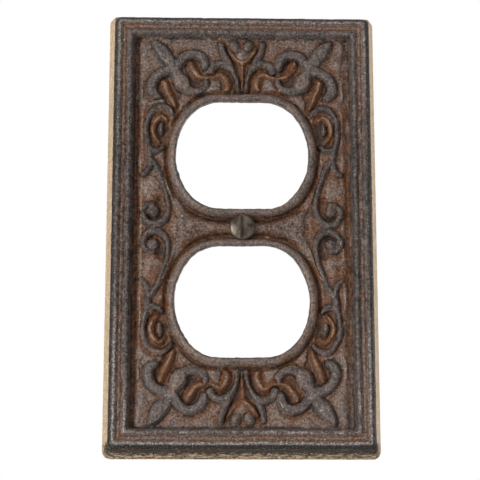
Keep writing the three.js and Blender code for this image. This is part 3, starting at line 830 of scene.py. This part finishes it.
screw = turned("screw", np.arange(tip, cone_foot + 0.5, THREAD_PITCH / 8), thread_radius)
dome = SCREW_DOME_HEIGHT * np.sin(np.linspace(0, math.pi / 2, 12))
head_heights = [cone_foot + 0.1, head_edge - 0.12, *(head_edge + dome)]
boolean(screw, turned("head_tool", head_heights, head_radius), "UNION")
slot_half = SCREW_SLOT_WIDTH / 2
slot_floor = head_edge + SCREW_DOME_HEIGHT - SCREW_SLOT_DEPTH
slot = np.array([[-slot_half, -4], [slot_half, -4], [slot_half, 4], [-slot_half, 4]])
boolean(screw, loft("slot_tool", [(slot, slot_floor), (slot, 9.0)]), "DIFFERENCE")
bevel = screw.modifiers.new("soft_edges", "BEVEL")
bevel.width = SCREW_EDGE_WIDTH * MM
bevel.segments = 2
bevel.limit_method = "ANGLE"
bevel.angle_limit = math.radians(50)
shade_smooth(screw.data, 40)

# ------------------------------------------------------------------ materials


class Nodes:
    """Short names for building a shader."""

    def __init__(self, name):
        self.material = bpy.data.materials.new(name)
        self.material.use_nodes = True
        self.tree = self.material.node_tree
        self.shader = self.tree.nodes["Principled BSDF"]
        self.place = self.add("ShaderNodeTexCoord").outputs["Object"]

    def add(self, kind, **settings):
        node = self.tree.nodes.new(kind)
        for key, value in settings.items():
            setattr(node, key, value)
        return node

    def feed(self, socket, value):
        if isinstance(value, bpy.types.NodeSocket):
            self.tree.links.new(value, socket)
        else:
            socket.default_value = value

    def attribute(self, name):
        return self.add("ShaderNodeAttribute", attribute_name=name).outputs["Fac"]

    def noise(self, size_mm, detail=3.0, roughness=0.55, place=None):
        node = self.add("ShaderNodeTexNoise")
        self.feed(node.inputs["Vector"], place or self.place)
        node.inputs["Scale"].default_value = 1000 / size_mm
        node.inputs["Detail"].default_value = detail
        node.inputs["Roughness"].default_value = roughness
        return node.outputs["Fac"]

    def drawn_out(self, x, y, z):
        """Object coordinates squeezed along each axis, so noise over them is drawn out."""
        node = self.add("ShaderNodeVectorMath", operation="MULTIPLY")
        self.feed(node.inputs[0], self.place)
        node.inputs[1].default_value = (x, y, z)
        return node.outputs["Vector"]

    def math(self, operation, a, b=0.0, c=0.0):
        node = self.add("ShaderNodeMath", operation=operation)
        for socket, value in zip(node.inputs, (a, b, c)):
            self.feed(socket, value)
        return node.outputs[0]

    def times(self, a, b):
        return self.math("MULTIPLY", a, b)

    def span(self, value, low, high, to_low=0.0, to_high=1.0):
        """Smooth step from to_low to to_high while value goes from low to high."""
        node = self.add("ShaderNodeMapRange", interpolation_type="SMOOTHSTEP")
        for socket, number in zip(node.inputs, (value, low, high, to_low, to_high)):
            self.feed(socket, number)
        return node.outputs[0]

    def swing(self, noise, amount):
        """Noise about zero, from -amount to amount."""
        return self.span(noise, 0.3, 0.7, -amount, amount)

    def mix(self, share, a, b, blend="MIX"):
        node = self.add("ShaderNodeMix", data_type="RGBA", blend_type=blend)
        self.feed(node.inputs[0], share)
        self.feed(node.inputs[6], a if isinstance(a, bpy.types.NodeSocket) else (*a, 1))
        self.feed(node.inputs[7], b if isinstance(b, bpy.types.NodeSocket) else (*b, 1))
        return node.outputs[2]

    def bump(self, height, distance_mm, strength=1.0, below=None):
        node = self.add("ShaderNodeBump")
        node.inputs["Strength"].default_value = strength
        node.inputs["Distance"].default_value = distance_mm * MM
        self.feed(node.inputs["Height"], height)
        if below is not None:
            self.feed(node.inputs["Normal"], below)
        return node.outputs["Normal"]


RUST = (0.112, 0.045, 0.018)
FIELD_BROWN = (0.150, 0.103, 0.081)
FIELD_PALE = (0.24, 0.18, 0.15)
IRON = (0.118, 0.096, 0.087)
IRON_DARK = (0.066, 0.053, 0.048)
IRON_BRIGHT = (0.50, 0.46, 0.42)
RUST_BRIGHT = (0.36, 0.25, 0.17)
DARK_GRAIN = (0.022, 0.014, 0.010)
SOOT_AND_SHADE = (0.009, 0.007, 0.006)
PALE_WALL = (0.56, 0.41, 0.26)
PALE_WALL_DARK = (0.38, 0.28, 0.185)
BRONZE_DARK = (0.060, 0.045, 0.036)
BRONZE = (0.125, 0.098, 0.078)
BRONZE_BRIGHT = (0.24, 0.20, 0.16)


def cast_iron():
    m = Nodes("antiqued_cast_iron_with_painted_light")
    raised, crease, worn_and_highlight, wall = (m.attribute(n) for n in ("raised", "crease", "worn_and_highlight", "wall"))
    grain = m.noise(0.45, 4.0, 0.6)
    patch = m.noise(5.0, 3.0, 0.5)
    fleck = m.noise(0.28, 2.0, 0.5)
    blotch = m.noise(1.1, 3.0, 0.65)
    streak = m.noise(0.55, 3.0, 0.65, m.drawn_out(0.3, 1.0, 0.3))

    # Rust, brown and grey iron, with ragged borders between them.
    broken = m.math("ADD", raised, m.swing(grain, 0.13))
    broken = m.math("ADD", broken, m.swing(patch, 0.07))
    colour = m.mix(m.span(broken, 0.18, 0.44), RUST, FIELD_BROWN)
    iron = m.mix(m.span(blotch, 0.36, 0.64), IRON_DARK, IRON)
    colour = m.mix(m.span(broken, 0.46, 0.74), colour, iron)

    # Pale and dark grains of sand.
    pale = m.times(m.span(fleck, 0.52, 0.64), m.span(broken, 0.3, 0.45))
    colour = m.mix(m.times(pale, 0.4), colour, FIELD_PALE)
    dark = m.times(m.span(grain, 0.50, 0.40), m.span(patch, 0.35, 0.6, 0.25, 0.6))
    colour = m.mix(dark, colour, DARK_GRAIN)

    # Pale tan sides, streaked round the plate.
    streaked = m.math("ADD", streak, m.swing(grain, 0.12))
    pale_sides = m.mix(m.span(streaked, 0.66, 0.36), PALE_WALL, PALE_WALL_DARK)
    pale_sides = m.mix(m.times(m.span(grain, 0.44, 0.36), 0.6), pale_sides, FIELD_BROWN)
    edge = m.math("ADD", wall, m.swing(grain, 0.2))
    colour = m.mix(m.span(edge, 0.45, 0.75), colour, pale_sides)

    # Black from the crease marks, dirt and painted shade, in streaks where it lies on the sides.
    sooty_and_shaded = m.times(crease, m.span(grain, 0.25, 0.6, 1.15, 0.6))
    streaky = m.math("MULTIPLY_ADD", wall, m.span(streak, 0.4, 0.6, 0.35, -0.35), 1.0)
    colour = m.mix(m.span(m.times(sooty_and_shaded, streaky), 0.05, 0.65, 0.0, 0.94), colour, SOOT_AND_SHADE)

    # Crests where the iron shows through, partly painted highlight, and single pale specks that are
    # painted glints.
    crest_shine_and_highlight = m.times(m.span(worn_and_highlight, 0.15, 0.7), m.span(fleck, 0.40, 0.58))
    painted_glints = m.times(m.span(fleck, 0.62, 0.70, 0, 0.6), m.span(broken, 0.5, 0.75))
    crests_and_glints = m.math("MAXIMUM", m.times(crest_shine_and_highlight, 0.75), painted_glints)
    crest_and_glint_colour = m.mix(m.span(broken, 0.3, 0.5), RUST_BRIGHT, IRON_BRIGHT)
    colour = m.mix(m.times(crests_and_glints, 0.62), colour, crest_and_glint_colour)

    # The light and dark of the sandy skin, fainter on the sides.
    sand = m.span(m.noise(0.6, 2.0, 0.6), 0.33, 0.67, 0.58, 1.42)
    colour = m.mix(m.math("MULTIPLY_ADD", wall, -0.7, 1.0), colour, sand, "MULTIPLY")

    m.feed(m.shader.inputs["Base Color"], colour)
    m.feed(m.shader.inputs["Metallic"], m.span(broken, 0.45, 0.8, 0.0, 0.25))
    m.shader.inputs["Specular IOR Level"].default_value = 0.3
    rough = m.math("SUBTRACT", m.span(broken, 0.15, 0.8, 0.5, 0.58), m.times(crests_and_glints, 0.15))
    m.feed(m.shader.inputs["Roughness"], m.math("MULTIPLY_ADD", wall, 0.42, rough))
    coarse = m.bump(m.noise(1.3, 3.0, 0.5), 0.05)
    m.feed(m.shader.inputs["Normal"], m.bump(grain, 0.06, 1.0, coarse))
    return m.material


def bronzed_steel():
    m = Nodes("bronzed_steel")
    smudge = m.noise(1.6, 3.0, 0.55)
    fine = m.noise(0.3, 3.0, 0.6)
    colour = m.mix(m.span(smudge, 0.35, 0.65), BRONZE_DARK, BRONZE)
    colour = m.mix(m.times(m.span(fine, 0.6, 0.7), 0.5), colour, BRONZE_BRIGHT)
    m.feed(m.shader.inputs["Base Color"], colour)
    m.shader.inputs["Metallic"].default_value = 0.8
    m.feed(m.shader.inputs["Roughness"], m.span(smudge, 0.3, 0.7, 0.34, 0.5))
    m.feed(m.shader.inputs["Normal"], m.bump(fine, 0.008))
    return m.material


def paper_floor():
    m = Nodes("pale_floor")
    m.shader.inputs["Base Color"].default_value = (0.86, 0.86, 0.85, 1)
    m.shader.inputs["Roughness"].default_value = 0.8
    m.shader.inputs["Emission Color"].default_value = (1, 1, 1, 1)
    m.shader.inputs["Emission Strength"].default_value = 0.3
    return m.material


def coat(made, material):
    """Gives a piece one material all over."""
    made.data.materials.clear()
    made.data.materials.append(material)
    made.data.polygons.foreach_set("material_index", np.zeros(len(made.data.polygons), int))


coat(plate, cast_iron())
coat(screw, bronzed_steel())

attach(plate, "plate")
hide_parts("cover_plate")
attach(screw, "screw")
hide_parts("mounting_screw")

# ------------------------------------------------------------------ stage

FLOOR_LEVEL = -0.125
floor_corners = [[x, y, FLOOR_LEVEL] for x, y in ((-3, -3), (3, -3), (3, 3), (-3, 3))]
floor = make_object("floor", np.array(floor_corners), [[0, 1, 2, 3]])
floor.data.materials.append(paper_floor())

AMBIENT = 0.35
world = bpy.data.worlds.new("studio")
world.use_nodes = True
backdrop = world.node_tree.nodes["Background"]
backdrop.inputs["Color"].default_value = (1, 1, 1, 1)
seen = world.node_tree.nodes.new("ShaderNodeLightPath")
level = world.node_tree.nodes.new("ShaderNodeMapRange")
level.inputs["To Min"].default_value = AMBIENT
level.inputs["To Max"].default_value = 1.0
world.node_tree.links.new(seen.outputs["Is Camera Ray"], level.inputs["Value"])
world.node_tree.links.new(level.outputs["Result"], backdrop.inputs["Strength"])
bpy.context.scene.world = world


def aim(obj, target):
    direction = Vector(target) - obj.location
    obj.rotation_euler = direction.to_track_quat("-Z", "Y").to_euler()


def softbox(name, location, size, power):
    light = bpy.data.lights.new(name, "AREA")
    light.shape = "RECTANGLE"
    light.size, light.size_y = size
    light.energy = power
    lamp = bpy.data.objects.new(name, light)
    bpy.context.scene.collection.objects.link(lamp)
    lamp.location = location
    lamp.visible_camera = False
    aim(lamp, (0, 0, 0))


softbox("key", (-0.78, -0.88, 0.0), (0.35, 0.35), 12.8)
softbox("fill", (-0.05, -0.32, -0.32), (0.25, 0.15), 4.6)
softbox("top", (0.10, -0.45, 0.50), (0.4, 0.2), 0.8)
softbox("edge", (0.50, 0.42, 0.0), (0.3, 0.3), 3.2)

# Camera below the plate and a little to its left, looking up.
TILT = math.radians(12.18)
YAW = math.radians(1.71)
across = Vector((math.cos(YAW), -math.sin(YAW), 0))
ahead = Vector((math.cos(TILT) * math.sin(YAW), math.cos(TILT) * math.cos(YAW), math.sin(TILT)))
up = across.cross(ahead)
CAMERA_PLACE = (-0.0113, -0.3639, -0.08093)
camera_data = bpy.data.cameras.new("camera")
camera_data.lens = 108.75
camera_data.sensor_width = 36
camera_data.clip_start = 0.01
camera = bpy.data.objects.new("camera", camera_data)
bpy.context.scene.collection.objects.link(camera)
turned_to = Matrix((across, up, -ahead)).transposed().to_4x4()
camera.matrix_world = Matrix.Translation(CAMERA_PLACE) @ turned_to
bpy.context.scene.camera = camera
bpy.context.scene.view_settings.view_transform = "Standard"

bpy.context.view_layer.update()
